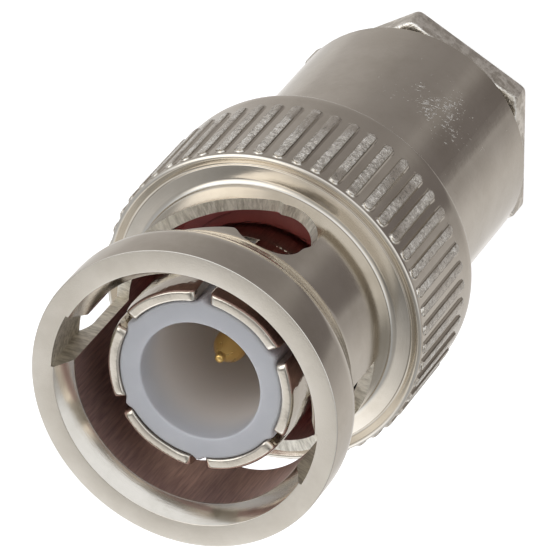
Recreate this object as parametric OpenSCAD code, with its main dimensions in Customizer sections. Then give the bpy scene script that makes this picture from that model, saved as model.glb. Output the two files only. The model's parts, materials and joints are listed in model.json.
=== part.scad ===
// Bayonet cable plug, 50 ohm: a turned body with a slotted outer contact, a spring-loaded
// coupling nut with two cam slots, and a screwed clamp at the rear for a thin coaxial lead.
// The plug stands on its rear hexagon at z = 0 with the mouth up, axis on +Z, in mm.

/* [Coupling nut] */
// Bore of the coupling nut, which passes over the mating jack
nut_bore_d = 9.9; // [9.8:0.05:10.1]
// Length of the coupling nut from mouth to rear face
nut_len = 13.45; // [13.1:0.05:14.2]
// Diameter of the unbroken ring at the mouth
ring_d = 12.74; // [12.4:0.02:13]
// Length of the ring at full diameter
ring_len = 1.5; // [1.3:0.05:1.7]
// Diameter of the thinned neck that carries the slots
neck_d = 10.9; // [10.8:0.05:11.1]
// Length of the curved flank from the ring down to the neck
flank_len = 2.35; // [2.1:0.05:2.6]
// Depth of the neck's rear shoulder below the mouth
shoulder_s = 7.95; // [7.6:0.05:8.3]
// Diameter where the lead-in of the mouth starts
lead_d = 10.88; // [10.6:0.02:11.2]
// Depth of the lead-in chamfer of the mouth
lead_s = 0.9; // [0.6:0.05:1.2]
// Thickness of the inner collar at the rear of the coupling nut
collar_t = 1; // [0.8:0.05:1.2]

/* [Bayonet slots] */
// Width of the cam slots, for 2 mm lugs
slot_w = 2.4; // [2.2:0.05:2.5]
// Diameter of the floor that the slots have inside the ring
slot_floor_d = 11.4; // [11.3:0.05:11.6]
// Diameter of that floor at the mouth
slot_mouth_d = 11.1; // [11.05:0.05:11.3]
// Depth of the rear wall of the axial entry
entry_s = 6.1; // [5.9:0.05:6.4]
// Depth of the lug's centre where the cam starts
cam_s = 4.2; // [4:0.05:4.4]
// Rise of the cam from its start to its end
cam_rise = 1.85; // [1.5:0.05:1.9]
// Turn from the entry to the end of the cam, in degrees
cam_turn = 92; // [85:1:96]
// Depth of the lug's centre in the detent pocket
detent_s = 5; // [4.9:0.02:5.1]
// Diameter of the detent pocket
detent_d = 2.74; // [2.6:0.02:2.8]

/* [Knurl] */
// Diameter of the plain grip under the knurl
grip_d = 13.42; // [13.2:0.02:13.8]
// Number of ridges in the knurl
knurl_n = 52; // [40:1:56]
// Length of the rolled ridges, over their round ends
ridge_len = 4; // [3.6:0.1:4.2]
// Width of the ridges where they rise from the grip
ridge_w = 0.46; // [0.36:0.02:0.5]
// Height of the ridges
ridge_h = 0.12; // [0.08:0.01:0.16]
// Bevel at the rear edge of the coupling nut
rim_bevel = 0.1; // [0.06:0.02:0.3]

/* [Body] */
// Diameter of the smooth barrel
barrel_d = 10.54; // [10.4:0.02:10.8]
// Length of the barrel
barrel_len = 9.9; // [9.6:0.1:12]
// Diameter of the journal that the coupling nut turns on
journal_d = 8.4; // [8.2:0.05:8.6]
// Diameter of the threaded bore at the rear
rear_bore_d = 8.5; // [8.4:0.05:8.7]
// Depth of the threaded bore
rear_bore_len = 7.9; // [7.9:0.05:8.2]
// Chamfer at the barrel's rear edge
barrel_bevel = 0.12; // [0.05:0.01:0.25]

/* [Outer contact] */
// Diameter over the spring fingers
finger_d = 7.9; // [7.7:0.02:8]
// Wall of the spring fingers
finger_wall = 0.53; // [0.45:0.01:0.6]
// Depth of the finger tips below the mouth
finger_s = 1.53; // [1.2:0.05:1.8]
// Number of spring fingers
finger_n = 6; // [4:1:8]
// Width of the slits between the fingers
slit_w = 0.6; // [0.4:0.02:0.7]
// Length of the slits
slit_len = 5.6; // [4.5:0.1:6]
// Diameter of the flange behind the gasket
flange_d = 9.4; // [9.2:0.05:9.5]
// Thickness of the flange
flange_t = 1; // [0.8:0.05:1.1]
// Diameter of the spigot pressed into the body
spigot_d = 7.2; // [7.1:0.05:7.4]
// Bore of the spigot
spigot_bore_d = 6.1; // [5.9:0.05:6.2]
// Depth of the seat that holds the front gasket
gasket_seat = 0.2; // [0.16:0.01:0.25]

/* [Inner contact and insulators] */
// Diameter of the contact pin
pin_d = 1.35; // [1.32:0.01:1.37]
// Depth of the pin's tip below the mouth
pin_s = 3.45; // [3.2:0.05:3.8]
// Diameter of the pin's root in the insulator
pin_root_d = 1.75; // [1.7:0.05:1.9]
// Diameter of the pin's collar
pin_collar_d = 2.4; // [2.2:0.05:2.6]
// Diameter of the solder cup
cup_d = 1.9; // [1.7:0.05:2]
// Bore of the solder cup
cup_bore_d = 1.05; // [0.9:0.05:1.2]
// Length of the solder cup
cup_len = 3.4; // [3:0.1:3.6]
// Bore of the front insulator
insulator_bore_d = 4.96; // [4.85:0.01:5]
// Depth of the insulator's rim below the mouth
insulator_s = 1.6; // [1.3:0.05:1.9]
// Length of the rear insulator
rear_insulator_len = 1.75; // [1.4:0.05:1.9]

/* [Seals and springs] */
// Thickness of the front gasket
gasket_t = 1; // [0.8:0.05:1.2]
// Outer diameter of the front gasket
gasket_d = 9.5; // [9.3:0.05:9.6]
// Thickness of the flat thrust washer
washer_t = 0.35; // [0.25:0.05:0.5]
// Free height of the wave washer
wave_h = 1.4; // [1.2:0.05:1.5]
// Thickness of the wave washer's strip
wave_t = 0.25; // [0.2:0.01:0.3]

/* [Clamp] */
// Width of the hexagon across its flats
hex_af = 9.4; // [9.2:0.05:10]
// Thickness of the hexagon
hex_t = 1.2; // [1:0.05:1.6]
// Gap left between the hexagon and the barrel
hex_gap = 0.35; // [0.3:0.05:0.6]
// Bore for the lead through the clamp nut
lead_bore_d = 5.2; // [5:0.05:5.4]
// Radial step from that bore out to the clamp washer's bore
washer_step = 0.2; // [0.16:0.01:0.25]
// Length of the clamp nut's threaded sleeve
sleeve_len = 3.7; // [3.2:0.1:3.8]
// Length of the rubber clamp gasket
cable_gasket_len = 2.4; // [2:0.05:2.6]
// Thickness of the braid clamp's flange
braid_flange_t = 0.7; // [0.6:0.05:0.8]

/* [Clearances] */
// Radial clearance of the nut on its journal
journal_gap = 0.05; // [0.04:0.01:0.08]
// Radial clearance of the clamp nut in its thread
thread_gap = 0.06; // [0.05:0.01:0.08]
// Radial clearance round the pieces inside the clamp
clamp_gap = 0.1; // [0.06:0.01:0.15]
// Axial clearance behind the coupling nut
nut_gap = 0.05; // [0.04:0.01:0.1]

/* [Hidden] */
$fn = 96;
cut = 1;                                        // overrun of the cutting tools
turn_a = -4;                                    // where the part stands round its axis
entry_a = 134 + turn_a;                         // angle of the first slot's entry
finger_a = 28 + turn_a;                         // angle of the first spring finger
edge = 0.08;                                    // broken edges
floor_r = slot_floor_d / 2;                     // slot floor inside the ring
wall_r = (nut_bore_d + neck_d) / 4;             // middle of the neck's wall
detent_a = entry_a - cam_turn + 0.7;            // angle of the detent pocket
end_a = entry_a - cam_turn - 4;                 // angle of the slot's blind end
end_s = cam_s + cam_rise - 0.2;                 // depth of the slot's blind end
barrel_z = hex_t + hex_gap;                     // rear end of the barrel
ledge_z = barrel_z + barrel_len;                // the barrel's front ledge
nut_z = ledge_z + nut_gap;                      // rear face of the coupling nut
mouth_z = nut_z + nut_len;                      // the mouth
knurl_z = mouth_z - shoulder_s - 0.3;           // front end of the knurl
ridge_r = (ridge_w * ridge_w / 4 + ridge_h * ridge_h) / (2 * ridge_h);
ridge_axis = grip_d / 2 + ridge_h - ridge_r;    // distance of a ridge's centre from the axis
collar_z = nut_z + collar_t;                    // front face of the nut's collar
wave_z = collar_z + washer_t;                   // rear side of the wave washer
flange_z = wave_z + wave_h;                     // rear face of the flange
gasket_z = flange_z + flange_t;                 // rear face of the front gasket
stop_z = gasket_z + gasket_t;                   // plane that the mating jack stops at
finger_r = finger_d / 2;
finger_bore_r = finger_r - finger_wall;
insulator_r = finger_bore_r - 0.03;
socket_z = stop_z - 0.1;                        // bottom of the insulator's bore
step_z = flange_z + 0.2;                        // where the wide bore meets the spigot's
pin_collar_t = 0.6;
cup_z = step_z - cup_len;                       // rear end of the solder cup
spigot_z = ledge_z - 0.6;                       // rear end of the spigot
web_z = barrel_z + rear_bore_len;               // bottom of the threaded bore
lead_r = lead_bore_d / 2;
clamp_r = rear_bore_d / 2 - clamp_gap;          // pieces inside the clamp
sleeve_r = rear_bore_d / 2 - thread_gap;        // the clamp nut's thread
braid_z = web_z - braid_flange_t;               // rear side of the braid clamp's flange
rubber_z = braid_z - cable_gasket_len;          // rear side of the rubber
sleeve_z = hex_t + sleeve_len;                  // front end of the clamp nut's sleeve
clamp_washer_t = rubber_z - sleeve_z;
vee = 0.45;                                     // depth of the vees in the rubber

// A turned piece from its half section, as pairs of radius and height
module turned(section) rotate_extrude() polygon(section);

// A flat ring from z0 to z1
module ring(ro, ri, z0, z1) turned([[ri, z0], [ro, z0], [ro, z1], [ri, z1]]);

// A rod milled radially at angle a and depth s below the mouth
module at_wall(a, s)
    rotate(a) translate([0, 0, mouth_z - s]) rotate([0, 90, 0]) children();

// Outline of a belt round two circles, from point p with radius a to point q with radius b
function belt(p, a, q, b, n) = let (
        d = norm(q - p), dir = atan2(q[1] - p[1], q[0] - p[0]), w = acos((a - b) / d))
    [for (i = [0 : 2 * n + 1])
        let (far = i > n, k = far ? i - n - 1 : i,
            t = far ? dir + w + k * (360 - 2 * w) / n : dir - w + k * 2 * w / n)
        far ? p + a * [cos(t), sin(t)] : q + b * [cos(t), sin(t)]];

// Curved flank, as pairs of radius and height, from height z0 up to z1
function flank(r0, z0, r1, z1, n) = [for (i = [0 : n])
    [r0 + (r1 - r0) * (1 - cos(180 * i / n)) / 2, z0 + (z1 - z0) * i / n]];

// Depth and angle of the lug's centre along the cam, t from 0 to 1
function cam_depth(t) = cam_s + cam_rise * t * t;
function cam_angle(t) = entry_a - cam_turn * t;

// The cam's outline in the plane of one radial cut about angle m: depth and offset
function cam_edge(t, o, m) = let (
        run = cam_turn * PI / 180 * wall_r, tilt = atan2(2 * cam_rise * t, run))
    [cam_depth(t) + o * cos(tilt), wall_r * tan(cam_angle(t) - m) - o * sin(tilt)];

// One radial cut along a stretch of the cam, from t0 to t1
module cam_cut(t0, t1, n = 6) {
    m = cam_angle((t0 + t1) / 2);
    at_wall(m, 0) translate([0, 0, nut_bore_d / 2 - cut]) linear_extrude(3)
        polygon([for (i = [0 : 2 * n + 1])
            let (back = i > n, k = back ? 2 * n + 1 - i : i)
            cam_edge(t0 + (t1 - t0) * k / n, back ? -slot_w / 2 : slot_w / 2, m)]);
}

// One bayonet slot: axial entry, rising cam and detent pocket
module bayonet_slot() {
    m = (detent_a + end_a) / 2;
    mouth_r = slot_mouth_d / 2;
    intersection() {
        turned([[0, mouth_z - shoulder_s], [floor_r, mouth_z - shoulder_s],
            [floor_r, mouth_z - ring_len - 0.8], [mouth_r, mouth_z], [mouth_r, mouth_z + cut],
            [0, mouth_z + cut]]);
        union() {
            at_wall(entry_a, entry_s) translate([-entry_s - cut, -slot_w / 2, nut_bore_d / 2 - cut])
                cube([entry_s + cut, slot_w, 2 * cut + neck_d / 2]);
            for (i = [0 : 3]) cam_cut(i / 4 - 0.012, (i + 1) / 4 + 0.012);
            at_wall(m, 0) translate([0, 0, nut_bore_d / 2 - cut]) linear_extrude(3)
                polygon(belt([detent_s, wall_r * tan(detent_a - m)], detent_d / 2,
                    [end_s, wall_r * tan(end_a - m)], slot_w / 2, 14));
        }
    }
}

// Ridges of the straight knurl, rolled up from the grip, with round ends
module knurl_ridges() {
    end = ridge_w / 2;
    for (i = [0 : knurl_n - 1])
        rotate(turn_a + 360 * i / knurl_n) translate([ridge_axis, 0, knurl_z - ridge_len + end])
            union() {
                cylinder(r = ridge_r, h = ridge_len - 2 * end, $fn = 32);
                sphere(r = ridge_r, $fn = 32);
                translate([0, 0, ridge_len - 2 * end]) sphere(r = ridge_r, $fn = 32);
            }
}

module coupling_nut() {
    b = nut_bore_d / 2;
    n = neck_d / 2;
    k = grip_d / 2;
    r = ring_d / 2;
    sh = mouth_z - shoulder_s;
    color("silver") difference() {
        union() {
            knurl_ridges();
            turned(concat(
                [[journal_d / 2 + journal_gap, nut_z + edge],
                [journal_d / 2 + journal_gap + edge, nut_z],
                [k - rim_bevel, nut_z],
                [k, nut_z + 1.5 * rim_bevel],
                [k, knurl_z - 0.08],
                [k - 0.08, knurl_z],
                [k - 0.2, knurl_z],
                [k - 0.2, knurl_z + 0.12],
                [n + 0.88, sh],
                [n, sh]],
                flank(n, mouth_z - ring_len - flank_len, r, mouth_z - ring_len, 12),
                [[r, mouth_z - edge],
                [r - edge, mouth_z],
                [lead_d / 2, mouth_z],
                [b, mouth_z - lead_s],
                [b, collar_z],
                [journal_d / 2 + journal_gap, collar_z]]));
        }
        for (a = [0, 180]) rotate(a) bayonet_slot();
    }
}

module body() {
    j = journal_d / 2;
    s = spigot_d / 2;
    color("silver") turned([
        [rear_bore_d / 2, barrel_z + 0.3],
        [rear_bore_d / 2 + 0.3, barrel_z],
        [barrel_d / 2 - barrel_bevel, barrel_z],
        [barrel_d / 2, barrel_z + barrel_bevel],
        [barrel_d / 2, ledge_z - edge],
        [barrel_d / 2 - edge, ledge_z],
        [j, ledge_z],
        [j, flange_z],
        [s, flange_z],
        [s, spigot_z],
        [lead_r, spigot_z],
        [lead_r, web_z],
        [rear_bore_d / 2, web_z]]);
}

module outer_contact() {
    t = mouth_z - finger_s;
    b = finger_bore_r;
    color("silver") difference() {
        turned([
            [spigot_bore_d / 2, spigot_z],
            [spigot_d / 2, spigot_z],
            [spigot_d / 2, flange_z],
            [flange_d / 2 - edge, flange_z],
            [flange_d / 2, flange_z + edge],
            [flange_d / 2, gasket_z],
            [finger_r - gasket_seat, gasket_z],
            [finger_r - gasket_seat, stop_z],
            [finger_r, stop_z],
            [finger_r, t - 0.5],
            [finger_r - 0.05, t - 0.2],
            [finger_r - 0.16, t - 0.04],
            [finger_r - 0.24, t],
            [b + 0.12, t],
            [b + 0.03, t - 0.05],
            [b, t - 0.15],
            [b, step_z],
            [spigot_bore_d / 2, step_z]]);
        for (i = [0 : finger_n - 1])
            rotate(finger_a + 360 * (i + 0.5) / finger_n)
                translate([b - 0.3, -slit_w / 2, t - slit_len])
                    cube([finger_wall + 0.6, slit_w, slit_len + cut]);
    }
}

module front_insulator() {
    t = mouth_z - insulator_s;
    i = insulator_bore_d / 2;
    p = pin_root_d / 2 + 0.02;
    c = pin_collar_d / 2 + 0.02;
    color("aliceblue") turned([
        [c, step_z],
        [insulator_r, step_z],
        [insulator_r, t - edge],
        [insulator_r - edge, t],
        [i + 0.05, t],
        [i, t - 0.05],
        [i, socket_z],
        [p, socket_z],
        [p, step_z + pin_collar_t],
        [c, step_z + pin_collar_t]]);
}

module rear_insulator() {
    color("whitesmoke")
        ring(spigot_bore_d / 2, cup_d / 2 + 0.02, step_z - rear_insulator_len, step_z);
}

module center_pin() {
    t = mouth_z - pin_s;
    r = pin_d / 2;
    c = cup_d / 2;
    color("gold") difference() {
        turned([
            [0, cup_z],
            [c - edge, cup_z],
            [c, cup_z + edge],
            [c, step_z],
            [pin_collar_d / 2, step_z],
            [pin_collar_d / 2, step_z + pin_collar_t],
            [pin_root_d / 2, step_z + pin_collar_t],
            [pin_root_d / 2, socket_z],
            [r, socket_z],
            [r, t - 1.15],
            [r - 0.05, t - 0.9],
            [0.2, t - 0.13],
            [0.13, t - 0.04],
            [0.05, t],
            [0, t]]);
        translate([0, 0, cup_z - cut]) cylinder(d = cup_bore_d, h = 2.6 + cut);
        translate([0, -0.3, cup_z + 0.8]) cube([c + cut, 0.6, 0.9]);
    }
}

module front_gasket() {
    g = gasket_d / 2;
    i = finger_r - gasket_seat + 0.02;
    color("darkred") turned([
        [i, gasket_z],
        [g - 0.1, gasket_z],
        [g, gasket_z + 0.1],
        [g, stop_z - 0.3],
        [g - 0.12, stop_z - 0.08],
        [g - 0.3, stop_z],
        [i + 0.12, stop_z],
        [i, stop_z - 0.12]]);
}

// A three-wave spring washer that touches the thrust washer and the flange
module wave_washer(steps = 48, waves = 3) {
    ri = journal_d / 2 + 0.1;
    ro = nut_bore_d / 2 - 0.15;
    mid = wave_z + wave_h / 2;
    amp = (wave_h - wave_t) / 2;
    corners = [[ri, -wave_t / 2], [ro, -wave_t / 2], [ro, wave_t / 2], [ri, wave_t / 2]];
    points = [for (i = [0 : steps - 1]) for (c = corners)
        let (a = 360 * i / steps)
        [c[0] * cos(a), c[0] * sin(a), mid + c[1] + amp * sin(waves * a)]];
    faces = [for (i = [0 : steps - 1]) for (k = [0 : 3])
        let (n = 4 * ((i + 1) % steps), m = 4 * i, l = (k + 1) % 4)
        for (f = [[m + k, m + l, n + l], [m + k, n + l, n + k]]) f];
    color("lightsteelblue") polyhedron(points, faces, convexity = 6);
}

module thrust_washer() {
    color("lightgrey") ring(nut_bore_d / 2 - 0.15, journal_d / 2 + 0.06, collar_z, wave_z);
}

module braid_clamp() {
    color("silver") turned([
        [lead_r - 0.55, rubber_z + 0.5],
        [lead_r - 0.35, rubber_z + 0.4],
        [lead_r - 0.12, braid_z - 0.1],
        [lead_r, braid_z],
        [clamp_r, braid_z],
        [clamp_r, web_z],
        [lead_r - 0.75, web_z],
        [lead_r - 0.75, braid_z + 0.1],
        [lead_r - 0.75, rubber_z + 0.6]]);
}

module cable_gasket() {
    m = (clamp_r + lead_r) / 2;
    color("dimgray") turned([
        [lead_r + 0.02, rubber_z],
        [m - 0.35, rubber_z],
        [m, rubber_z + vee],
        [m + 0.35, rubber_z],
        [clamp_r - 0.02, rubber_z],
        [clamp_r - 0.02, braid_z],
        [lead_r + 0.02, braid_z]]);
}

module clamp_washer() {
    m = (clamp_r + lead_r) / 2;
    color("lightgrey") turned([
        [lead_r + washer_step, sleeve_z],
        [clamp_r, sleeve_z],
        [clamp_r, rubber_z],
        [m + 0.35, rubber_z],
        [m, rubber_z + vee - 0.05],
        [m - 0.35, rubber_z],
        [lead_r + washer_step, rubber_z]]);
}

module clamp_nut() {
    hr = hex_af / sqrt(3);
    color("silver") difference() {
        union() {
            intersection() {
                rotate(turn_a) cylinder(r = hr, h = hex_t, $fn = 6);
                turned([[0, 0], [hr - 0.35, 0], [hr - 0.13, 0.13], [hr - 0.13, hex_t - 0.13],
                    [hr - 0.35, hex_t], [0, hex_t]]);
            }
            turned([[0, hex_t - 0.4], [sleeve_r - 0.35, hex_t - 0.4], [sleeve_r - 0.35, barrel_z + 0.2],
                [sleeve_r, barrel_z + 0.55], [sleeve_r, sleeve_z - 0.2], [sleeve_r - 0.2, sleeve_z],
                [0, sleeve_z]]);
        }
        translate([0, 0, -cut]) cylinder(r = lead_r, h = sleeve_z + 2 * cut);
        turned([[0, -0.01], [lead_r + 0.3, -0.01], [lead_r, 0.3], [0, 0.3]]);
    }
}

body();
outer_contact();
front_insulator();
rear_insulator();
center_pin();
front_gasket();
wave_washer();
thrust_washer();
coupling_nut();
braid_clamp();
cable_gasket();
clamp_washer();
clamp_nut();
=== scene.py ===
# %% [markdown]
# # A bayonet cable plug, nickel, red seal and gold pin
# The plug stands on the hexagon of its clamp, mouth up, axis on Z. Its solids come packed from the
# CAD part, in metres, and they set every place and size here. This lesson dresses them: it makes
# the surfaces that need more detail than the solids carry, and a finish for each metal and plastic.

# %% Load the frame
import bmesh
import bpy
import json
import math
import numpy as np
from mathutils import Matrix, Vector


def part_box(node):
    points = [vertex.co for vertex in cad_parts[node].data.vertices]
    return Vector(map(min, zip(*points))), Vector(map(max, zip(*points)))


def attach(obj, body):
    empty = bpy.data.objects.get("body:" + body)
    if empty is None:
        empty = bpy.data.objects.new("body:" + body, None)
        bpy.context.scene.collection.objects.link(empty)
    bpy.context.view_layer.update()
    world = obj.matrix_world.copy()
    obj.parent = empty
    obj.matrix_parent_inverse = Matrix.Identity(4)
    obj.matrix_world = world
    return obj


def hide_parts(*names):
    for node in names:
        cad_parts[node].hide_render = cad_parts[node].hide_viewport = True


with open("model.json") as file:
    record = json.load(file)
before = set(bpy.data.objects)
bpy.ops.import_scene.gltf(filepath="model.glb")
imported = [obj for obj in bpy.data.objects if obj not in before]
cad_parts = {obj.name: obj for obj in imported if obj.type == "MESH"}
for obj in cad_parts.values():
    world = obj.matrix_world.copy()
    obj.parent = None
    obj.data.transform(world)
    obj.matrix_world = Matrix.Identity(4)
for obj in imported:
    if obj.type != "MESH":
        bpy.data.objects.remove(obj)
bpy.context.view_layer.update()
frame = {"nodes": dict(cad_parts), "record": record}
MM = 0.001
print("nodes:", ", ".join(sorted(frame["nodes"])))

# %% [markdown]
# ## The heights that everything hangs on
# A turned piece is read from its ends, so the few heights that the lesson needs are taken from the
# boxes of the solids: the mouth, the rear of the coupling nut, the tips of the fingers, the rim of
# the insulator. Nothing is measured twice, and a longer nut would carry its finish with it.

# %% Heights from the solids
def low(node):
    """Lowest height of a node, in metres."""
    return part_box(node)[0][2]


def high(node):
    """Highest height of a node, in metres."""
    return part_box(node)[1][2]


mouth_z = high("coupling_nut")
nut_z = low("coupling_nut")
tips_z = high("outer_contact")
rim_z = high("front_insulator")
print("mouth %.2f, nut from %.2f, finger tips %.2f, insulator rim %.2f mm" % tuple(
    v / MM for v in (mouth_z, nut_z, tips_z, rim_z)))

# %% [markdown]
# ## The camera
# The view looks down into the mouth, about 36 degrees off the axis, from far away with a long lens,
# as small parts are shown: the far end then looks nearly as large as the near end. The camera's
# three directions are set as a matrix, because the plug lies slantwise in the picture and a camera
# that merely tracks a point would stand upright.

# %% Camera
CAMERA_PLACE = (0.12922, 0.049081, 0.208117)
CAMERA_LOOK = (-0.544059, -0.205689, -0.813444)
CAMERA_UP = (0.343705, 0.829777, -0.439701)
SENSOR, FOCAL_LENGTH = 36, 385.7


def aimed(name, data, place, look, up):
    """An object at place whose -Z axis runs along look and whose Y axis is closest to up."""
    look = Vector(look).normalized()
    right = look.cross(Vector(up)).normalized()
    turn = Matrix((right, right.cross(look), -look)).transposed().to_4x4()
    made = bpy.data.objects.new(name, data)
    bpy.context.collection.objects.link(made)
    made.matrix_world = Matrix.Translation(place) @ turn
    return made


lens = bpy.data.cameras.new("long_lens")
lens.sensor_width, lens.lens = SENSOR, FOCAL_LENGTH
lens.clip_start, lens.clip_end = 0.01, 5
camera = aimed("camera", lens, CAMERA_PLACE, CAMERA_LOOK, CAMERA_UP)
bpy.context.scene.camera = camera
bpy.context.scene.view_settings.view_transform = "Standard"
print("camera %.0f mm from the mouth" % ((camera.location - Vector((0, 0, mouth_z))).length / MM))

# %% [markdown]
# ## Node helpers
# Finishes are built from nodes, and each helper adds one node or one small group of them: add and
# join are the base, maths, times and plus are arithmetic, noise and cylindrical give patterns and
# places, above gives a mask, and ramp and blend_colours turn a mask into a colour. A value that
# stays constant is set on the shader itself.

# %% Node helpers
def add(tree, kind, **values):
    """A new node of that kind. Keys that are inputs set the input, other keys set the property."""
    made = tree.nodes.new("ShaderNode" + kind)
    for key, value in values.items():
        if key in made.inputs:
            made.inputs[key].default_value = value
        else:
            setattr(made, key, value)
    return made


def join(tree, source, target):
    """Joins an output socket to an input socket."""
    tree.links.new(source, target)


def feed(tree, socket, value):
    """Sets an input to a number, or joins another socket to it."""
    if isinstance(value, (int, float)):
        socket.default_value = value
    else:
        join(tree, value, socket)


def maths(tree, what, *values):
    """One arithmetic node on sockets or numbers. Returns its output."""
    made = add(tree, "Math", operation=what)
    for socket, value in zip(made.inputs, values):
        feed(tree, socket, value)
    return made.outputs[0]


def times(tree, *values):
    """The product of sockets and numbers."""
    result = values[0]
    for value in values[1:]:
        result = maths(tree, "MULTIPLY", result, value)
    return result


def plus(tree, *values):
    """The sum of sockets and numbers."""
    result = values[0]
    for value in values[1:]:
        result = maths(tree, "ADD", result, value)
    return result


def triple(tree, x, y, z):
    """Three sockets or numbers as one vector."""
    made = add(tree, "CombineXYZ")
    for socket, value in zip(made.inputs, (x, y, z)):
        feed(tree, socket, value)
    return made.outputs[0]


def ramp(tree, value, *stops):
    """A colour ramp with stops of (position, colour or grey)."""
    made = add(tree, "ValToRGB")
    band = made.color_ramp.elements
    while len(band) < len(stops):
        band.new(1)
    for element, (place, colour) in zip(band, stops):
        if isinstance(colour, (int, float)):
            colour = (colour, colour, colour)
        element.position, element.color = place, (*colour, 1)
    join(tree, value, made.inputs[0])
    return made.outputs[0]


def noise(tree, place, scale, detail=3, rough=0.6):
    """Noise at a place, with so many features per metre."""
    made = add(tree, "TexNoise", Scale=scale, Detail=detail, Roughness=rough)
    join(tree, place, made.inputs["Vector"])
    return made.outputs[0]


def cylindrical(tree):
    """Object coordinates, and from them the radius, the turn round the axis and the height."""
    place = add(tree, "TexCoord").outputs["Object"]
    split = add(tree, "SeparateXYZ")
    join(tree, place, split.inputs[0])
    x, y, z = split.outputs
    radius = maths(tree, "SQRT", plus(tree, times(tree, x, x), times(tree, y, y)))
    return place, radius, maths(tree, "ARCTAN2", y, x), z


def above(tree, value, start, end):
    """A smooth mask that goes from 0 at start to 1 at end."""
    made = add(tree, "MapRange", interpolation_type="SMOOTHSTEP",
               **{"From Min": start, "From Max": end})
    join(tree, value, made.inputs[0])
    return made.outputs[0]


def blend_colours(tree, mask, first, second):
    """first where the mask is 0, second where it is 1; each is a socket or a colour."""
    made = add(tree, "Mix", data_type="RGBA")
    join(tree, mask, made.inputs[0])
    for socket, colour in ((made.inputs[6], first), (made.inputs[7], second)):
        if isinstance(colour, tuple):
            socket.default_value = (*colour, 1)
        else:
            join(tree, colour, socket)
    return made.outputs[2]


def finish_named(name, **constants):
    """An empty material with its shader; returns material, node tree and shader. Constants are
    set on the shader's sockets, with _ for a space in the socket's name."""
    made = bpy.data.materials.new(name)
    made.use_nodes = True
    shader = made.node_tree.nodes["Principled BSDF"]
    for key, value in constants.items():
        shader.inputs[key.replace("_", " ")].default_value = value
    return made, made.node_tree, shader


def bump(tree, shader, height, distance):
    """Lays a height, in units of distance, on a shader as bump."""
    made = add(tree, "Bump", Strength=1.0, Distance=distance)
    join(tree, height, made.inputs["Height"])
    join(tree, made.outputs[0], shader.inputs["Normal"])


print("helpers ready")

# %% [markdown]
# ## Nickel plate on turned brass
# Every outer metal piece is brass with a bright nickel plate. Nickel is a warm grey mirror. What
# makes it look turned is a very fine grain: rings left by the tool, which change quickly along the
# axis and slowly round it, so the noise is stretched round the axis by reading it at turn times a
# short length, radius and height in place of x, y and z. A second, coarser noise makes the plate
# slightly cloudy.

# %% Plain metals
NICKEL, CLOUDED_NICKEL = (0.66, 0.61, 0.535), (0.6, 0.55, 0.475)


def metal(name, rough, rings, cloud, tint=NICKEL):
    """Turned metal: rings is the depth of the tool's rings in metres, cloud how much the roughness
    changes."""
    made, tree, shader = finish_named(name, Metallic=1)
    place, radius, turn, z = cylindrical(tree)
    grain = noise(tree, triple(tree, times(tree, turn, 0.0012), radius, z), 9000, 4, 0.7)
    patches = noise(tree, place, 420, 4, 0.6)
    darker = (tint[0] * 0.93, tint[1] * 0.91, tint[2] * 0.88)
    colour = blend_colours(tree, ramp(tree, patches, (0.35, 0.0), (0.7, 1.0)), tint, darker)
    join(tree, colour, shader.inputs["Base Color"])
    uneven = ramp(tree, patches, (0.3, rough - cloud), (0.75, rough + cloud))
    join(tree, uneven, shader.inputs["Roughness"])
    bump(tree, shader, grain, rings)
    return made


satin = metal("satin_nickel", 0.3, 0.0012 * MM, 0.08)
gold = metal("gold_plate", 0.28, 0.001 * MM, 0.06, tint=(0.83, 0.56, 0.2))
spring_steel = metal("spring_steel", 0.25, 0.0006 * MM, 0.05, tint=(0.56, 0.56, 0.57))
print("plain metals:", satin.name, gold.name, spring_steel.name)

# %% [markdown]
# ## Silicone, rubber and insulator
# The seal is dark red silicone, soft and slightly glossy, and the hidden gasket is black rubber.
# The insulator is a milky white plastic with a bluish cast: light enters it and comes out nearby,
# so subsurface scattering gives the soft rim. Down in its bore only light that the plastic has
# passed on arrives, so the bore is warmer.

# %% Soft and plastic finishes
SKIN = 0.004 * MM


def plain(name, colour, rough):
    """A dielectric with a fine, faint unevenness of colour and surface."""
    made, tree, shader = finish_named(name)
    place = add(tree, "TexCoord").outputs["Object"]
    patches = noise(tree, place, 900, 4, 0.6)
    dark = tuple(0.85 * c for c in colour)
    join(tree, ramp(tree, patches, (0.35, dark), (0.65, colour)), shader.inputs["Base Color"])
    uneven = ramp(tree, patches, (0.3, rough), (0.7, rough + 0.08))
    join(tree, uneven, shader.inputs["Roughness"])
    bump(tree, shader, patches, SKIN)
    return made


def milky(name):
    """A cloudy plastic: bluish where light enters from outside, warmer and paler in the bore."""
    made, tree, shader = finish_named(name, Roughness=0.33, Subsurface_Weight=0.5,
                                      Subsurface_Radius=(1.0 * MM, 0.9 * MM, 0.9 * MM),
                                      Subsurface_Scale=1.0)
    place, radius, turn, z = cylindrical(tree)
    patches = noise(tree, place, 700, 4, 0.6)
    bore = times(tree, above(tree, radius, 2.62 * MM, 2.5 * MM),
                 above(tree, z, rim_z - 0.1 * MM, rim_z - 2.2 * MM))
    outer = ramp(tree, patches, (0.3, (0.445, 0.45, 0.475)), (0.7, (0.49, 0.495, 0.515)))
    join(tree, blend_colours(tree, bore, outer, (0.69, 0.64, 0.6)), shader.inputs["Base Color"])
    bump(tree, shader, patches, SKIN)
    return made


red_silicone = plain("red_silicone", (0.72, 0.2, 0.2), 0.32)
black_rubber = plain("black_rubber", (0.03, 0.03, 0.032), 0.6)
milky_plastic = milky("milky_plastic")
print("soft and plastic finishes:", red_silicone.name, black_rubber.name, milky_plastic.name)

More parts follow.
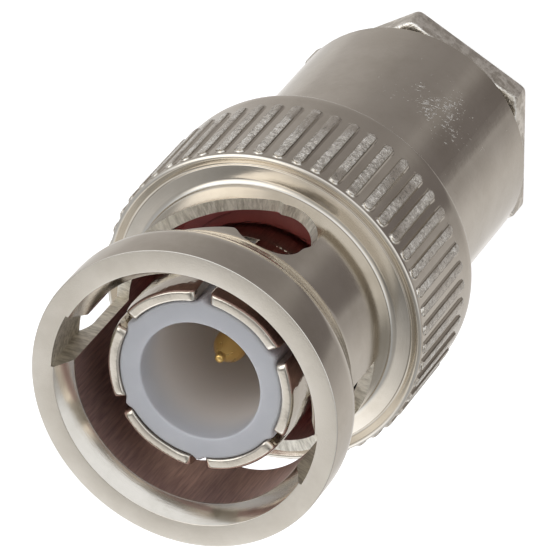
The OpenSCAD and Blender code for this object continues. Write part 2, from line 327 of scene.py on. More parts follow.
# %% [markdown]
# ## The nut's own nickel
# One nut carries several finishes. The tops of the ridges were struck by the rolling wheel: they
# are rough, and their colour carries painted glints on the raised facets, fainter where the wheel
# wore smooth, and painted shade in the pits. The mouth face was faced across and is matt. The neck
# was turned and polished, and fine rings run round it.
# The bore mirrors the red seal, and that reflection is painted into its nickel as a warm red-brown
# tint. Masks made from the radius and the height choose between them, so the finish stays with the
# shape. The slots were milled: their walls are paler, with the cutter's chatter across them.

# %% Nut nickel
RELIEF = 0.04 * MM


def turned_nickel(name):
    """Nickel with struck ridge tops under painted glints and pit shade, a faced mouth, a bore with
    a painted reflection of the red seal and rings round the neck.
    """
    made, tree, shader = finish_named(name, Metallic=1)
    place, radius, turn, z = cylindrical(tree)
    tops = times(tree, above(tree, radius, 6.755 * MM, 6.8 * MM),
                 above(tree, z, nut_z + 1.0 * MM, nut_z + 1.3 * MM))
    face = above(tree, z, mouth_z - 0.03 * MM, mouth_z - 0.005 * MM)
    bore = times(tree, above(tree, radius, 5.0 * MM, 4.96 * MM),
                 above(tree, z, mouth_z - 0.85 * MM, mouth_z - 1.0 * MM))
    struck = noise(tree, triple(tree, times(tree, turn, 0.0067), radius, z), 5200, 5, 0.75)
    kept = above(tree, noise(tree, place, 420, 2, 0.5), 0.4, 0.6)
    worn = plus(tree, times(tree, kept, 0.75), 0.25)
    ringed = noise(tree, triple(tree, times(tree, turn, 0.0006), radius, z), 14000, 3, 0.6)
    lengthwise = triple(tree, times(tree, turn, 0.005), 0.0, times(tree, z, 0.08))
    drawn = noise(tree, lengthwise, 9000, 3, 0.6)
    clouds = noise(tree, place, 350, 5, 0.65)
    fine = noise(tree, place, 16000, 3, 0.6)
    # Painted glints and painted shade on the struck tops: raised facets get a pale colour and pits
    # a dark one.
    painted_glints, painted_pit_shade = above(tree, struck, 0.47, 0.62), above(tree, struck, 0.46, 0.34)
    tint = blend_colours(tree, above(tree, clouds, 0.38, 0.66), NICKEL, CLOUDED_NICKEL)
    tint = blend_colours(tree, times(tree, tops, worn, painted_glints), tint, (0.88, 0.84, 0.77))
    tint = blend_colours(tree, times(tree, tops, painted_pit_shade), tint, (0.36, 0.33, 0.29))
    # Painted reflection of the red seal in the bore, laid into the nickel's colour as a warm
    # red-brown.
    painted_seal_reflection = ramp(tree, drawn, (0.35, (0.44, 0.3, 0.28)), (0.65, (0.66, 0.46, 0.42)))
    join(tree, blend_colours(tree, bore, tint, painted_seal_reflection), shader.inputs["Base Color"])
    rough = plus(tree, times(tree, clouds, 0.14), 0.06, times(tree, tops, 0.04),
                 times(tree, face, 0.2), times(tree, bore, 0.35))
    join(tree, rough, shader.inputs["Roughness"])
    height = plus(tree, times(tree, tops, struck, worn, 5.0), times(tree, face, fine, 0.25),
                  times(tree, ringed, 0.03), times(tree, clouds, 0.1))
    bump(tree, shader, height, RELIEF)
    return made


def milled_walls(name):
    """Pale nickel over a milled cut: chatter marks that stand across the wall, and coarse grain."""
    made, tree, shader = finish_named(name, Metallic=1, Roughness=0.48)
    place, radius, turn, z = cylindrical(tree)
    across = triple(tree, times(tree, turn, 0.0055), times(tree, radius, 0.25), z)
    chatter = noise(tree, across, 5200, 4, 0.7)
    pale = ramp(tree, chatter, (0.36, (0.46, 0.42, 0.35)), (0.6, (0.8, 0.75, 0.65)))
    join(tree, pale, shader.inputs["Base Color"])
    bump(tree, shader, chatter, 0.05 * MM)
    return made


nut_nickel = turned_nickel("nut_nickel")
milled_nickel = milled_walls("milled_nickel")
print("nut finishes:", nut_nickel.name, milled_nickel.name)

# %% [markdown]
# ## Handled nickel
# The barrel, the hexagon and the fingers are plain shapes that show how they were handled. A rub
# has left a small group of scratches on one side of the barrel. They are drawn where stretched
# noise is highest, and the mask that lets them through falls off with the distance from the middle
# of the rub, so they thin out and end without an edge. The hexagon came out of the plating drum
# with a pebbly surface, and the same recipe makes it with a coarser noise.

# %% Worn nickel
RUB_TURN, RUB_Z, RUB_REACH = math.radians(20), 6.0 * MM, 3.6 * MM
BARREL_R = 5.3 * MM


def worn_nickel(name, mottle, nicks, rough=0.04, pebble=0.0):
    """Cloudy nickel: mottle, nicks and pebble are the heights of the clouds, the scratches and the
    pebbly surface in units of the relief, and rough is the least roughness."""
    made, tree, shader = finish_named(name, Metallic=1)
    place, radius, turn, z = cylindrical(tree)
    clouds = noise(tree, place, 330, 5, 0.65)
    pebbles = noise(tree, place, 2300, 3, 0.6)
    ringed = noise(tree, triple(tree, times(tree, turn, 0.0008), radius, z), 12000, 3, 0.6)
    lengthwise = triple(tree, times(tree, turn, 0.0053), radius, times(tree, z, 0.06))
    drawn = noise(tree, lengthwise, 7000, 3, 0.6)

    along = times(tree, maths(tree, "SUBTRACT", turn, RUB_TURN), BARREL_R)
    up = maths(tree, "SUBTRACT", z, RUB_Z)
    far = maths(tree, "SQRT", plus(tree, times(tree, along, along), times(tree, up, up)))
    near = times(tree, above(tree, far, RUB_REACH, 0.2 * MM),
                 above(tree, noise(tree, place, 600, 3, 0.6), 0.25, 0.6))
    cross = times(tree, plus(tree, along, times(tree, up, 0.7)), 0.22)
    slant = maths(tree, "SUBTRACT", up, times(tree, along, 0.7))
    scratches = noise(tree, triple(tree, cross, slant, times(tree, up, 0.1)), 9000, 3, 0.6)
    specks = noise(tree, triple(tree, along, times(tree, up, 0.45), radius), 8500, 3, 0.65)
    grains = maths(tree, "MAXIMUM", scratches, specks)
    marks = above(tree, plus(tree, grains, times(tree, near, 0.17)), 0.735, 0.81)

    cloudy = above(tree, clouds, 0.36, 0.66)
    tint = blend_colours(tree, cloudy, (0.67, 0.62, 0.545), CLOUDED_NICKEL)
    pebbly = times(tree, above(tree, pebbles, 0.42, 0.62), min(1.0, pebble * 0.3))
    tint = blend_colours(tree, pebbly, tint, (0.93, 0.88, 0.8))
    nicked = times(tree, marks, min(0.75, nicks * 1.3))
    tint = blend_colours(tree, nicked, tint, (0.95, 0.93, 0.88))
    join(tree, tint, shader.inputs["Base Color"])
    uneven = plus(tree, times(tree, clouds, 0.12), times(tree, marks, 0.3), rough)
    join(tree, uneven, shader.inputs["Roughness"])
    height = plus(tree, times(tree, ringed, 0.03), times(tree, drawn, 0.02),
                  times(tree, clouds, mottle), times(tree, marks, nicks),
                  times(tree, pebbles, pebble))
    bump(tree, shader, height, RELIEF)
    return made


barrel_nickel = worn_nickel("barrel_nickel", 0.25, 0.6)
hexagon_nickel = worn_nickel("hexagon_nickel", 1.5, 0.8, rough=0.3, pebble=3.0)
finger_nickel = worn_nickel("finger_nickel", 1.5, 0.1)
print("worn finishes:", barrel_nickel.name, hexagon_nickel.name, finger_nickel.name)

# %% [markdown]
# ## Finishes on the solids
# Pieces whose solid already has the true shape keep it and only get a finish. That is the barrel,
# the seal and all the hidden pieces: washers, rubber, rear insulator and braid clamp.

# %% Dress the solids
wears = {
    "body": barrel_nickel, "braid_clamp": satin, "clamp_washer": satin,
    "rear_insulator": milky_plastic, "front_gasket": red_silicone,
    "wave_washer": spring_steel, "thrust_washer": spring_steel, "cable_gasket": black_rubber,
}
for node, worn in wears.items():
    for held in frame["nodes"][node].material_slots:
        held.material = worn
print("dressed", len(wears), "solids")

# %% [markdown]
# ## Turned shapes as arrays
# A turned piece is one closed outline of radius and height, carried round the axis. As arrays that
# is a grid: the rows are the points of the outline, the columns are the turns round the axis. A
# knurl or a dent is then only a number added to the radius of each grid point, and no modifier and
# no loop over points is needed. Sharp corners of an outline are cut by short parabolas, because a
# real edge is never quite sharp, and that thin curved edge is what catches the light.

# %% Outline and lathe
SHARP = math.radians(32)


def soften(corners, cut, steps=4):
    """An open outline whose inner corners become arcs: (1-t)^2 start + 2t(1-t) corner + t^2 end,
    where start and end lie cut away from the corner on its two sides, or 45% of a shorter side."""
    c = np.asarray(corners, float)
    cut = np.broadcast_to(np.asarray(cut, float), len(c) - 2)[:, None]
    ends = []
    for side in (c[:-2] - c[1:-1], c[2:] - c[1:-1]):
        ends.append(c[1:-1] + side * np.minimum(cut / np.linalg.norm(side, axis=1)[:, None], 0.45))
    t = np.linspace(0, 1, steps)[None, :, None]
    start, end = ends[0][:, None], ends[1][:, None]
    arcs = (1 - t) ** 2 * start + 2 * t * (1 - t) * c[1:-1, None] + t ** 2 * end
    return np.vstack([c[:1], arcs.reshape(-1, 2), c[-1:]])


def grid_faces(rows, columns, wrap_rows=True, wrap_columns=True):
    """Quads of a grid of points, row by row. They face outwards where the rows go up on the outside
    and the columns go counter-clockwise."""
    i, j = np.meshgrid(np.arange(rows if wrap_rows else rows - 1),
                       np.arange(columns if wrap_columns else columns - 1), indexing="ij")
    n, m = (i + 1) % rows, (j + 1) % columns
    quads = [i * columns + j, i * columns + m, n * columns + m, n * columns + j]
    return np.stack(quads, axis=-1).reshape(-1, 4)


def smooth(mesh):
    """Smooth shading, except over edges sharper than SHARP."""
    mesh.polygons.foreach_set("use_smooth", np.ones(len(mesh.polygons), bool))
    mesh.set_sharp_from_angle(angle=SHARP)


def as_mesh(name, points, faces, material):
    """A mesh object in metres from points in mm."""
    mesh = bpy.data.meshes.new(name)
    mesh.from_pydata((np.asarray(points) * MM).tolist(), [], np.asarray(faces).tolist())
    mesh.materials.append(material)
    smooth(mesh)
    made = bpy.data.objects.new(name, mesh)
    bpy.context.collection.objects.link(made)
    return made


def cylinder_points(r, a, z):
    """Points (r cos a, r sin a, z), with the shape of the three arrays and one axis more."""
    return np.stack([r * np.cos(a), r * np.sin(a), z], axis=-1)


def turned_points(outline, columns, swell=None):
    """Points (r cos a, r sin a, z) for each outline point and each of so many angles a; swell, a
    function of radius, angle and height, is added to r."""
    a = np.linspace(0, 2 * np.pi, columns, endpoint=False)[None, :]
    r, z = (np.asarray(outline)[:, k, None] + 0 * a for k in (0, 1))
    a = a + 0 * r
    if swell is not None:
        r = r + swell(r, a, z)
    return cylinder_points(r, a, z).reshape(-1, 3)


def in_place_of(piece, node, body):
    """Rides the piece on its body and shows it instead of the solid."""
    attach(piece, body)
    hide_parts(node)
    print(piece.name, "has", len(piece.data.polygons), "faces and shows", node)


print("4 corners soften to", len(soften([[1, 0], [2, 0], [2, 1], [1, 1]], 0.1)), "points")

# %% [markdown]
# ## The coupling nut
# The nut is turned from brass bar: a ring at the mouth, a curved flank down to a thin neck, a faced
# shoulder with a raised lip, and the grip. The knurl is rolled: a wheel presses valleys, and the
# metal rises into 52 ridges between them, with round ends and rough tops. Each ridge is a rise that
# falls off with the distance from a line: the fourth power keeps its top flat and its sides steep.

# %% Nut outline and ridges
M = mouth_z / MM
REAR = nut_z / MM
NECK, RING, BORE, GRIP = 5.45, 6.37, 4.95, 6.71
COLLAR_BORE, COLLAR_TOP = 4.25, M - 12.45
LEAD_IN, LEAD_IN_DEPTH = 5.44, 0.9
FLANK_REAR, FLANK_RISE = M - 3.85, 2.35
RIDGES, RIDGE_HALF, RIDGE_RISE = 52, 0.235, 0.115
RIDGE_FRONT, RIDGE_REAR = M - 8.07, M - 12.42
TURN = math.radians(-4)
NUT_COLUMNS = RIDGES * 14


def ridges(r, a, z):
    """Rise of the knurl at radius r, angle a, height z: rise * sqrt(1 - d^4), where d is the
    distance to the nearest ridge's line in half widths, counted on the grip only."""
    pitch = 2 * np.pi / RIDGES
    across = ((a - TURN + pitch / 2) % pitch - pitch / 2) * GRIP / RIDGE_HALF
    inner_front, inner_rear = RIDGE_FRONT - RIDGE_HALF, RIDGE_REAR + RIDGE_HALF
    beyond = np.maximum(np.maximum(z - inner_front, inner_rear - z), 0) / RIDGE_HALF
    d = np.minimum(np.hypot(across, beyond), 1)
    return np.where(r > GRIP - 0.2, RIDGE_RISE * np.sqrt(1 - d ** 4), 0)


flank_t = np.linspace(0, 1, 18)
flank = np.column_stack([NECK + (RING - NECK) * (1 - np.cos(np.pi * flank_t)) / 2,
                         FLANK_REAR + FLANK_RISE * flank_t])
round_end = np.array([-0.05, 0.05, 0.2, 0.4, 0.7, 1.1])
rows = np.concatenate([RIDGE_REAR + RIDGE_HALF * round_end,
                       np.linspace(RIDGE_REAR + 0.6, RIDGE_FRONT - 0.6, 6),
                       RIDGE_FRONT - RIDGE_HALF * round_end[::-1]])
grip_rows = np.column_stack([np.full(len(rows), GRIP), rows])
rear_part = soften([[COLLAR_BORE, COLLAR_TOP], [COLLAR_BORE, REAR], [GRIP, REAR],
                    [GRIP + 0.03, REAR + 0.3], [GRIP, RIDGE_REAR - 0.05]], [0.08, 0.09, 0.2])
lip = soften([[GRIP, M - 8.04], [6.69, M - 7.93], [6.55, M - 7.86], [6.3, M - 8.05],
              [6.22, M - 8.05], [6.2, M - 7.99], [5.6, M - 7.88], [NECK, M - 7.78],
              [NECK, M - 3.9]], [0.05, 0.06, 0.03, 0.02, 0.02, 0.1, 0.1])
mouth = soften([[RING, M - 1.45], [RING, M], [LEAD_IN, M], [BORE, M - LEAD_IN_DEPTH],
                [BORE, COLLAR_TOP]], [0.07, 0.04, 0.05])
nut_outline = np.vstack([rear_part, grip_rows, lip, flank, mouth])
print("nut outline:", len(nut_outline), "points, grid of", len(nut_outline) * NUT_COLUMNS, "quads")

# %% [markdown]
# ## The bayonet slots
# Two slots, half a turn apart, take the lugs of the jack: in at the mouth, then round and down a
# ramp while the spring pushes back, and at last up into a rounded pocket that holds them. On the
# lathe grid such an opening can't be a number added to the radius, so it is cut, as the milling
# cutter does it: a block with the outline of the slot goes through the wall, and a Boolean modifier
# takes it away. Inside the ring the block is thinner than the wall, which leaves the slot's floor.

# %% Slot edges
ENTRY, CAM_END = math.radians(130), math.radians(92)
CAM_START, CAM_RISE = 4.2, 1.85
HALF = 1.2
WEAR, WEAR_START, WEAR_RUN = 0.16, math.radians(90), 0.35
POCKET, POCKET_DEPTH, POCKET_R = math.radians(38.7), 5.0, 1.37
BLIND, BLIND_DEPTH, BLIND_R = math.radians(36), 5.86, 1.33


def cam_depth(a):
    """Depth of the lug's middle at angle a: start + rise t^2, t from 0 at the entry to 1 at the
    cam's end, and not past 0.95."""
    t = np.clip((ENTRY - a) / CAM_END, 0, 0.95)
    return CAM_START + CAM_RISE * t ** 2


def hole_edge(a, middle, depth, radius, side):
    """Front (side -1) or rear (side 1) edge of a round hole: depth -+ sqrt(radius^2 - x^2), and far
    away on the other side where x, the distance along the neck, is beyond the hole."""
    x = np.abs(a - middle) * NECK
    arc = np.sqrt(np.maximum(radius ** 2 - x ** 2, 0))
    return depth + side * arc - side * 5 * np.maximum(x - radius, 0)


def soft_extreme(a, b, side, blend):
    """Smooth minimum (side -1) or maximum (side 1) of two arrays:
    side * blend * log(e^(side a / blend) + e^(side b / blend))."""
    return side * blend * np.logaddexp(side * a / blend, side * b / blend)


def slot_edge(a, side):
    """Front or rear edge of the cam slot with its pocket and its round blind end, as a depth."""
    wear = WEAR * np.clip((WEAR_START - a) / WEAR_RUN, 0, 1) if side > 0 else 0
    past = np.maximum(BLIND + 0.14 - a, 0) * NECK
    cam = cam_depth(a) + side * (HALF - 1.5 * past) + wear
    pocket = hole_edge(a, POCKET, POCKET_DEPTH, POCKET_R, side)
    blind = hole_edge(a, BLIND, BLIND_DEPTH, BLIND_R, side)
    return soft_extreme(soft_extreme(cam, pocket, side, 0.14), blind, side, 0.05)


def floor_radius(depth):
    """Radius of the slot's floor inside the ring: 5.55 at the mouth, 5.7 from 2.3 mm down."""
    return 5.55 + 0.15 * np.clip(depth / 2.3, 0, 1)


print("slot edges at the pocket: %.2f and %.2f mm deep" % (
    slot_edge(POCKET, -1), slot_edge(POCKET, 1)))

# %% [markdown]
# ## Cutting the slots
# A block is two copies of one grid of angles and depths, one inside the bore and one out at the
# slot's floor, with walls round the rim. The Booleans are exact, and the cut faces keep the block's
# own material, so each slot comes out with milled walls in a polished nut.

# %% Slot cutters
INSIDE_BORE = 4.6
ENTRY_R, ENTRY_DEPTH, OVERRUN = 5.4, 6.1, 0.4
WELD = 1e-7


def block(name, angle, depth, material):
    """A closed block over a grid of angles and depths, from inside the bore to the slot's floor."""
    n, m = angle.shape
    shells = [cylinder_points(r, angle, M - depth).reshape(-1, 3)
              for r in (floor_radius(depth), INSIDE_BORE + 0 * depth)]
    top = grid_faces(n, m, False, False)
    i = np.arange(n * m).reshape(n, m)
    rim = np.concatenate([i[0, :-1], i[:-1, -1], i[-1, :0:-1], i[:0:-1, 0]])
    nxt = np.roll(rim, -1)
    walls = np.stack([rim, nxt, nxt + n * m, rim + n * m], axis=-1)
    faces = np.vstack([top, top[:, ::-1] + n * m, walls])
    made = as_mesh(name, np.vstack(shells), faces, material)
    work = bmesh.new()
    work.from_mesh(made.data)
    bmesh.ops.remove_doubles(work, verts=work.verts, dist=WELD)
    bmesh.ops.recalc_face_normals(work, faces=work.faces)
    work.to_mesh(made.data)
    work.free()
    return made


def slot_blocks(turn, material):
    """The two blocks of one slot, turned round the axis: the entry and the cam with its pocket."""
    a, d = np.meshgrid(np.linspace(-HALF, HALF, 13) / ENTRY_R,
                       np.linspace(-OVERRUN, ENTRY_DEPTH, 40), indexing="ij")
    entry = block("entry_cutter", a + ENTRY + turn, d, material)
    end = BLIND - (BLIND_R - 0.001) / NECK
    t = np.linspace(0, 1, 90)[:, None]
    a = end + (ENTRY + 0.02 - end) * (1 - np.cos(t * np.pi / 2)) ** 0.9
    v = np.linspace(0, 1, 9)[None, :]
    front, rear = slot_edge(a, -1), slot_edge(a, 1)
    d = front + (rear - front) * v
    return entry, block("cam_cutter", a + 0 * v + turn, d, material)


def cut_away(piece, cutters):
    """Takes cutters from a piece with exact Booleans. Cut faces keep the cutters' own."""
    for cutter in cutters:
        mod = piece.modifiers.new("cut", "BOOLEAN")
        mod.operation, mod.solver, mod.object = "DIFFERENCE", "EXACT", cutter
        mod.material_mode = "TRANSFER"
    graph = bpy.context.evaluated_depsgraph_get()
    mesh = bpy.data.meshes.new_from_object(piece.evaluated_get(graph))
    piece.modifiers.clear()
    piece.data = mesh
    for cutter in cutters:
        bpy.data.objects.remove(cutter, do_unlink=True)
    smooth(mesh)


# %% Build the nut
nut = as_mesh("turned_coupling_nut", turned_points(nut_outline, NUT_COLUMNS, ridges),
              grid_faces(len(nut_outline), NUT_COLUMNS), nut_nickel)
cut_away(nut, [b for turn in (0, math.pi) for b in slot_blocks(turn, milled_nickel)])
in_place_of(nut, "coupling_nut", "coupling")
print("materials of the nut:", [m.name for m in nut.data.materials])

# %% [markdown]
# ## The spring fingers
# Six fingers grip the inside of the jack. Each is one closed section, an arc with thickness,
# carried up the finger: towards the tip the section grows narrower along a quarter circle, so that
# the corners are round, and thinner, so that the tip leads in. Sawing and polishing leave no two
# tips alike, so each one gets its own small lean and height from sines of its number.

# %% Finger shapes
FINGERS, SLIT_TURN = 6, math.radians(24)
TIP, SLIT_END = tips_z / MM, M - 6.4
FINGER_R, FINGER_BORE, SLIT_HALF = 3.95, 3.42, 0.31
CORNER_R, OUTER_R, INNER_R = 0.3, 0.13, 0.1
BELOW_TIP = np.array([TIP - SLIT_END, 3.4, 1.6, 0.6, 0.42, 0.32, 0.25, 0.18, 0.12, 0.07, 0.035,
                      0.01, 0.0])[:, None]


def quarter(up, radius):
    """How far a quarter circle of that radius has come in when it is up above its start."""
    up = np.clip(up, 0, radius)
    return radius - np.sqrt(radius ** 2 - up ** 2)


def finger_points(number):
    """Rows from the slit's end up to the tip. Each row is a closed loop: the outer arc, at radius
    - taper - rounding, one way, then the inner arc back. Its half angle shrinks at the tip."""
    below = BELOW_TIP
    u = np.sin(np.linspace(-1, 1, 25) * np.pi / 2)[None, :]
    middle = SLIT_TURN + 2 * np.pi * number / FINGERS
    lean = 0.035 * math.sin(2.3 * number + 0.8) * np.clip(1 - below / 5.5, 0, 1) ** 2
    height = 0.03 * math.sin(4.1 * number) + 0.012 * np.sin(u * 5 + number) * (below < 0.1)
    narrowed = SLIT_HALF + quarter(CORNER_R - below, CORNER_R)
    half = (FINGER_R * np.pi / FINGERS - narrowed) / FINGER_R
    edge = 0.05 * np.clip((np.abs(u) - 0.93) / 0.07, 0, 1) ** 2
    taper = 0.075 * np.clip(1 - below / 0.55, 0, 1)
    outer = FINGER_R - taper - quarter(OUTER_R - below, OUTER_R) - edge + lean
    inner = FINGER_BORE + quarter(INNER_R - below, INNER_R) + edge + lean
    angle = middle + u * half
    z = TIP - below + height - 0.03 + 0 * u
    return np.concatenate([cylinder_points(outer, angle, z),
                           cylinder_points(inner[:, ::-1], angle[:, ::-1], z[:, ::-1])], axis=1)


def finger_faces(rows, columns):
    """Quads round the loops, and a strip from the outer arc to the inner one on both ends."""
    across = np.arange(columns // 2 - 1)
    strip = np.stack([across, across + 1, columns - 2 - across, columns - 1 - across], axis=-1)
    sides = grid_faces(rows, columns, False, True)
    return np.vstack([sides, strip[:, ::-1], strip + (rows - 1) * columns])


loops = np.stack([finger_points(number) for number in range(FINGERS)])
per_finger = loops.shape[1] * loops.shape[2]
finger_grid = loops.reshape(-1, 3)
finger_quads = np.concatenate([finger_faces(*loops.shape[1:3]) + number * per_finger
                               for number in range(FINGERS)])
print("fingers:", FINGERS, "with tips at %.2f mm" % finger_grid[:, 2].max())

# %% [markdown]
# ## The socket under the fingers
# Below the slits the same piece is a plain turned socket: the sleeve that the fingers grow from,
# the seat of the red seal, the flange that the spring presses on, and the spigot that goes into the
# barrel. It is one outline on the lathe grid, in one mesh with the fingers.

# %% Build the contact
SPIGOT_BORE, SPIGOT_R, FLANGE_R, SEAT_R = 3.05, 3.6, 4.7, 3.75
SPIGOT_END, FLANGE_REAR, FLANGE_FRONT, SEAT_FRONT = M - 14.1, M - 10.7, M - 9.7, M - 8.7
SPIGOT_SHOULDER, SOCKET_COLUMNS = M - 10.5, 144
socket_outline = soften([
    [SPIGOT_BORE, SPIGOT_END], [SPIGOT_R, SPIGOT_END], [SPIGOT_R, FLANGE_REAR],
    [FLANGE_R, FLANGE_REAR], [FLANGE_R, FLANGE_FRONT], [SEAT_R, FLANGE_FRONT],
    [SEAT_R, SEAT_FRONT], [FINGER_R, SEAT_FRONT], [FINGER_R, SLIT_END + 0.03],
    [FINGER_BORE, SLIT_END + 0.03], [FINGER_BORE, SPIGOT_SHOULDER], [SPIGOT_BORE, SPIGOT_SHOULDER],
], [0.08, 0.02, 0.06, 0.06, 0.02, 0.02, 0.02, 0.02, 0.02, 0.02], steps=3)
socket_quads = grid_faces(len(socket_outline), SOCKET_COLUMNS) + len(finger_grid)
collet = as_mesh("slotted_collet",
                 np.vstack([finger_grid, turned_points(socket_outline, SOCKET_COLUMNS)]),
                 np.vstack([finger_quads, socket_quads]), finger_nickel)
in_place_of(collet, "outer_contact", "plug")

# %% [markdown]
# ## The insulator
# The insulator is a milky tube that stands inside the fingers, and where a slit leaves it free it
# swells out a little: a bell curve of the distance to the nearest slit, added to the radius.

# %% Insulator
RIM = rim_z / MM
PIN_SHOULDER, PIN_COLLAR, PIN_COLLAR_END = M - 8.8, M - 9.9, M - 10.5
TUBE_R, TUBE_BORE, COLLAR_R, ROOT_HOLE, TUBE_COLUMNS = 3.39, 2.48, 1.22, 0.895, 240
SWELL, SWELL_WIDTH, SWELL_R, SWELL_DEPTH, SWELL_FADE = 0.17, 0.2, 3.4, 3.4, 1.2


def slit_swell(r, a, z):
    """Rise swell * e^-(x / width)^2 at the slits, x the distance to the nearest one, on the outside
    only and fading out below the rim."""
    pitch = 2 * np.pi / FINGERS
    x = ((a - SLIT_TURN) % pitch - pitch / 2) * SWELL_R
    fading = np.clip((SWELL_DEPTH - (M - z)) / SWELL_FADE, 0, 1)
    return np.where(r > 3.2, SWELL * np.exp(-(x / SWELL_WIDTH) ** 2) * fading, 0)


tube_outline = soften([
    [COLLAR_R, PIN_COLLAR_END], [TUBE_R, PIN_COLLAR_END], [TUBE_R, M - 3.5], [TUBE_R, M - 2.4],
    [TUBE_R, RIM], [2.5, RIM], [TUBE_BORE, PIN_SHOULDER], [ROOT_HOLE, PIN_SHOULDER],
    [ROOT_HOLE, PIN_COLLAR], [COLLAR_R, PIN_COLLAR],
], [0.02, 0.2, 0.2, 0.16, 0.09, 0.15, 0.02, 0.02], steps=5)
tube = as_mesh("milky_tube", turned_points(tube_outline, TUBE_COLUMNS, slit_swell),
               grid_faces(len(tube_outline), TUBE_COLUMNS), milky_plastic)
in_place_of(tube, "front_insulator", "plug")

# %% [markdown]
# ## The pin
# The pin is turned, with a slender tapered end and a small rounded nose, so that it finds its
# socket. Its outline runs from the solder cup to the nose and ends close to the axis on both sides,
# where the last ring of points is drawn together and closed.

# %% Pin
NOSE = high("center_pin") / MM
FOOT = low("center_pin") / MM
CUP_BORE, CUP_R, PIN_COLLAR_R, ROOT_R, PIN_R = 0.525, 0.95, 1.2, 0.875, 0.675
AXIS, PIN_COLUMNS, PIN_WELD = 0.001, 96, 3e-6
pin_outline = soften([
    [AXIS, FOOT + 3.2], [CUP_BORE, FOOT + 3.1], [CUP_BORE, FOOT], [CUP_R, FOOT],
    [CUP_R, PIN_COLLAR_END], [PIN_COLLAR_R, PIN_COLLAR_END], [PIN_COLLAR_R, PIN_COLLAR],
    [ROOT_R, PIN_COLLAR], [ROOT_R, PIN_SHOULDER], [PIN_R, PIN_SHOULDER], [PIN_R, NOSE - 1.3],
    [0.62, NOSE - 0.95], [0.3, NOSE - 0.42], [0.2, NOSE - 0.3], [0.19, NOSE - 0.05], [AXIS, NOSE],
], [0.05, 0.05, 0.05, 0.01, 0.02, 0.02, 0.02, 0.02, 0.02, 0.2, 0.15, 0.08, 0.04, 0.1], steps=5)
pin = as_mesh("tapered_pin", turned_points(pin_outline, PIN_COLUMNS),
              grid_faces(len(pin_outline), PIN_COLUMNS, False, True), gold)
work = bmesh.new()
work.from_mesh(pin.data)
bmesh.ops.remove_doubles(work, verts=work.verts, dist=PIN_WELD)
bmesh.ops.holes_fill(work, edges=work.edges, sides=200)
work.to_mesh(pin.data)
work.free()
in_place_of(pin, "center_pin", "plug")

# %% [markdown]
# ## The clamp's hexagon
# The clamp nut ends in a hexagon for the spanner. Its outline is turned first and then given six
# flats: on the grid the radius becomes apothem / cos(angle from the middle of a flat). The cosines
# of the two nearest flats are joined by a high power, which rounds each corner where they meet.

# %% Hexagon
FLAT, HEXAGON_H = 4.7, 1.2
SLEEVE_R, LEAD_R, LEAD_BEVEL = 4.19, 2.6, 0.3
BLUNTING, HEXAGON_COLUMNS = 70, 720
nut_end = high("clamp_nut") / MM


def six_flats(r, a, z):
    """Change of radius that turns the circle of radius FLAT into the hexagon, in proportion
    further in: the radius is FLAT / (cos(off)^n + cos(60 degrees - off)^n)^(1/n), where off is the
    angle from the middle of a flat and n the blunting."""
    off = np.abs((a - TURN) % (np.pi / 3) - np.pi / 6)
    blunt = (np.cos(off) ** BLUNTING + np.cos(np.pi / 3 - off) ** BLUNTING) ** (1 / BLUNTING)
    return np.where(r > 3.5, (1 / blunt - 1) * r * np.clip((r - 3.9) / 0.7, 0, 1), 0)


clamp_outline = soften([
    [LEAD_R, 0.5], [LEAD_R, LEAD_BEVEL], [LEAD_R + LEAD_BEVEL, 0], [FLAT, 0], [FLAT, HEXAGON_H],
    [SLEEVE_R, HEXAGON_H], [SLEEVE_R, nut_end], [LEAD_R, nut_end], [LEAD_R, 0.7],
], [0.05, 0.05, 0.14, 0.17, 0.05, 0.05, 0.1], steps=6)
clamp = as_mesh("hexagon_clamp_nut", turned_points(clamp_outline, HEXAGON_COLUMNS, six_flats),
                grid_faces(len(clamp_outline), HEXAGON_COLUMNS), hexagon_nickel)
in_place_of(clamp, "clamp_nut", "clamp")

# %% [markdown]
# ## The floor
# The plug is shown over a plain pale floor that glows a little, as a lit paper sweep does, so that
# it stays white up to the edges of the view. The clamp nut unscrews downwards, so the floor lies
# just below the end of its travel. Mirrors don't see the floor: what polished walls show is left to
# the sky below the horizon, which can be shaded by direction.

# %% Floor
def flat_disc(name, radius, z, sectors=96):
    """A disc: the points at (radius cos t, radius sin t, z) round a centre point, as a fan."""
    t = np.linspace(0, 2 * np.pi, sectors, endpoint=False)
    points = np.vstack([[0, 0, z], cylinder_points(radius, t, np.full(sectors, z))])
    nxt = np.arange(sectors)
    fan = np.column_stack([np.zeros(sectors, int), nxt + 1, (nxt + 1) % sectors + 1])
    mesh = bpy.data.meshes.new(name)
    mesh.from_pydata(points.tolist(), [], fan.tolist())
    made = bpy.data.objects.new(name, mesh)
    bpy.context.collection.objects.link(made)
    return made


FLOOR_R, FLOOR_GAP = 0.6, 0.05 * MM
joints = {joint["name"]: joint for joint in frame["record"]["behaviour"]["joints"]}
clamp_travel = joints["clamp_slide"]["range_m"][1]
floor = flat_disc("floor", FLOOR_R, -clamp_travel - FLOOR_GAP)
floor.visible_glossy = False
pale, tree, shader = finish_named(
    "pale_floor", Base_Color=(0.8, 0.8, 0.8, 1), Roughness=0.9, Specular_IOR_Level=0.1,
    Emission_Color=(1, 1, 1, 1), Emission_Strength=0.55)
floor.data.materials.append(pale)
print("floor %.2f mm below the plug" % (-floor.data.vertices[0].co.z / MM))

# %% [markdown]
# ## The studio as a sky
# The light is soft and comes from all of the sky, white and brightest towards the horizon, with two
# broad lamps in it. A polished wall that stands upright mirrors what lies below the horizon, and
# all white it would have no form. A studio answers that with grey cards beside the piece: here they
# are one table of grey by direction, counted from the viewer's side. It is dark on that side and
# pale behind the piece, so each wall runs from light to dark and back, with one crisp edge.
# Two more grey flags at the horizon, left and right, keep the white rings from washing out.

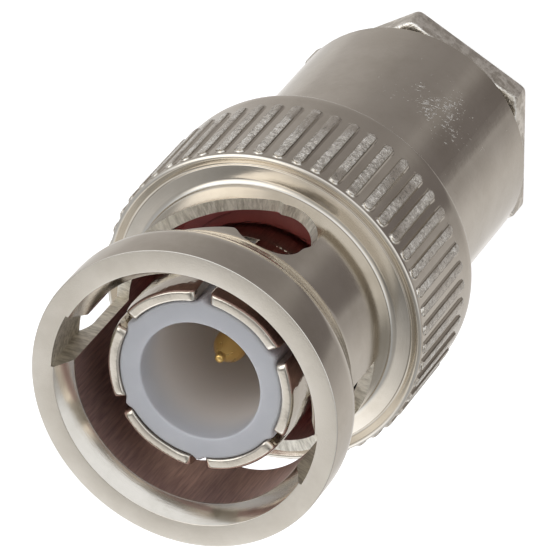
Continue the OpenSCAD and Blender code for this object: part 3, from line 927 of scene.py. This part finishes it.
# %% Sky
VIEW_TURN = math.degrees(math.atan2(camera.location.y, camera.location.x))
CARDS = (
    (-164, 0.9), (-152, 0.78), (-146, 0.71), (-130, 0.665), (-112, 0.65), (-96, 0.64),
    (-86, 0.58), (-78, 0.52), (-70, 0.44), (-62, 0.385), (-56, 0.4), (-51, 0.23), (-46, 0.185),
    (-28, 0.187), (-18, 0.22), (-9, 0.31), (-3, 0.33), (4, 0.285), (20, 0.27), (38, 0.3),
    (50, 0.325), (62, 0.385), (74, 0.43), (86, 0.465), (100, 0.5), (114, 0.52), (122, 0.6),
    (130, 0.645), (146, 0.67), (158, 0.78), (168, 0.9))
FLAGS = (
    (-180, 1.0), (-150, 1.0), (-122, 0.45), (-82, 0.4), (-55, 0.95), (60, 1.0), (104, 0.95),
    (124, 0.45), (142, 0.5), (164, 1.0))
DOME = (
    (0.0, (1.17, 1.23, 1.32)), (0.45, (1.22, 1.28, 1.37)), (0.72, 1.02), (0.83, 0.9), (0.9, 0.6),
    (0.97, 0.48))
HORIZON_START, HORIZON_END = -0.3, 0.1

sky = bpy.data.worlds.new("studio_sky")
bpy.context.scene.world = sky
sky.use_nodes = True
tree = sky.node_tree
split = add(tree, "SeparateXYZ")
join(tree, add(tree, "TexCoord").outputs["Generated"], split.inputs[0])
x, y, z = split.outputs


def round_about(stops):
    """A ramp over the turn from the viewer's side, from stops of (degrees, colour or grey)."""
    turn = maths(tree, "SUBTRACT", maths(tree, "ARCTAN2", y, x), math.radians(VIEW_TURN))
    share = maths(tree, "FRACT", plus(tree, maths(tree, "DIVIDE", turn, 2 * math.pi), 1.5))
    return ramp(tree, share, *[(degrees / 360 + 0.5, colour) for degrees, colour in stops])


def lamp(turn, height, width, strength):
    """A soft lamp in the sky: strength times a smooth mask of the angle from a direction, all in
    degrees. The cosine of that angle is the sum of direction times aim over x, y and z."""
    t, h = math.radians(VIEW_TURN + turn), math.radians(height)
    aim = (math.cos(h) * math.cos(t), math.cos(h) * math.sin(t), math.sin(h))
    near = plus(tree, times(tree, x, aim[0]), times(tree, y, aim[1]), times(tree, z, aim[2]))
    start, end = math.cos(math.radians(width)), math.cos(math.radians(width * 0.4))
    return times(tree, above(tree, near, start, end), strength)


def vectors(what, first, second):
    """A sum or product of two colours."""
    made = add(tree, "VectorMath", operation=what)
    join(tree, first, made.inputs[0])
    join(tree, second, made.inputs[1])
    return made.outputs[0]


cards = round_about([(turn, (grey + 0.018, grey, grey * 0.98)) for turn, grey in CARDS])
dome = vectors("MULTIPLY", ramp(tree, z, *DOME), round_about(FLAGS))
lamps = plus(tree, lamp(80, 46, 32, 1.1), lamp(-150, 30, 24, 0.4))
lit = vectors("ADD", dome, triple(tree, lamps, lamps, lamps))
level = add(tree, "MapRange", **{"From Min": HORIZON_START, "From Max": HORIZON_END})
join(tree, z, level.inputs[0])
background = tree.nodes["Background"]
join(tree, blend_colours(tree, level.outputs[0], cards, lit), background.inputs["Color"])
background.inputs["Strength"].default_value = 1.0
print("sky ready, viewer at turn %.1f degrees" % VIEW_TURN)
